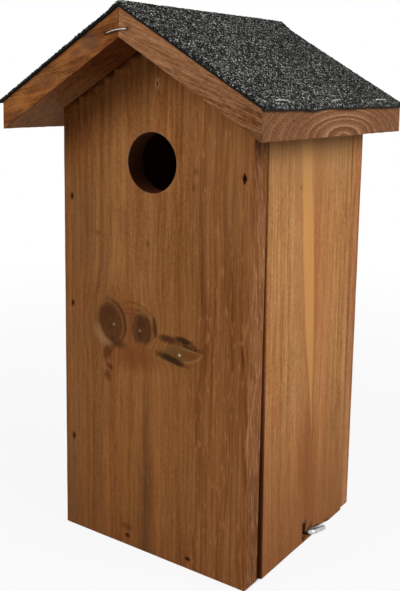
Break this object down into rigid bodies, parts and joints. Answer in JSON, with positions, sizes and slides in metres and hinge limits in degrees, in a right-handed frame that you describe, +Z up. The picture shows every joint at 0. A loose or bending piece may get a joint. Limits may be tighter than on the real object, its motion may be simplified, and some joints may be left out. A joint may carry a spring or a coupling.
{
  "type": "birdhouse",
  "caption": "Gabled wooden nest box with a round entrance, a side door that swings on two nails, a turning hook that holds it, and a felted roof.",
  "frame": {"origin": "on the surface that the box stands on, below the middle of the roof", "axes": "+Z up; +Y towards the back board; -Y the way the entrance faces; +X towards the side door"},
  "size_m": [0.2374, 0.2234, 0.4194],
  "materials": {
    "body_wood": "brown-stained softwood, sawn and lightly planed",
    "door_wood": "brown-stained softwood, fine straight grain",
    "roof_wood": "brown-stained softwood, rough sawn",
    "inner_wood": "brown-stained softwood, unfinished inside",
    "mineral_felt": "bitumen sheet with grey mineral granules",
    "staple_steel": "galvanised wire",
    "nail_steel": "dull bright-steel wire",
    "zinc_hook": "bright zinc plate"
  },
  "bodies": {
    "box": {"front_board": "body_wood", "back_board": "body_wood", "fixed_side": "body_wood", "floor_board": "inner_wood", "ridge_batten": "inner_wood", "left_roof_board": "roof_wood", "right_roof_board": "roof_wood", "roofing_felt": "mineral_felt", "front_ridge_staple": "staple_steel", "back_ridge_staple": "staple_steel", "left_felt_staples": "staple_steel", "right_felt_staples": "staple_steel", "left_roof_brads": "nail_steel", "right_roof_brads": "nail_steel", "front_side_brads": "nail_steel", "back_side_brads": "nail_steel", "front_floor_brads": "nail_steel", "back_floor_brads": "nail_steel", "front_batten_brad": "nail_steel", "back_batten_brad": "nail_steel", "side_floor_brads": "nail_steel", "front_pivot_nail": "nail_steel", "back_pivot_nail": "nail_steel"},
    "door": {"side_door": "door_wood"},
    "catch": {"catch_hook": "zinc_hook"}
  },
  "joints": [
    {"name": "door_swing", "type": "hinge", "parent": "box", "child": "door", "pos_m": [0.0803, 0.01375, 0.3015], "axis": [0, -1, 0], "range_deg": [-0.57, 116]},
    {"name": "catch_turn", "type": "hinge", "parent": "box", "child": "catch", "pos_m": [0.0803, 0.02225, 0.0068], "axis": [1, 0, 0], "range_deg": [0, 104]}
  ]
}
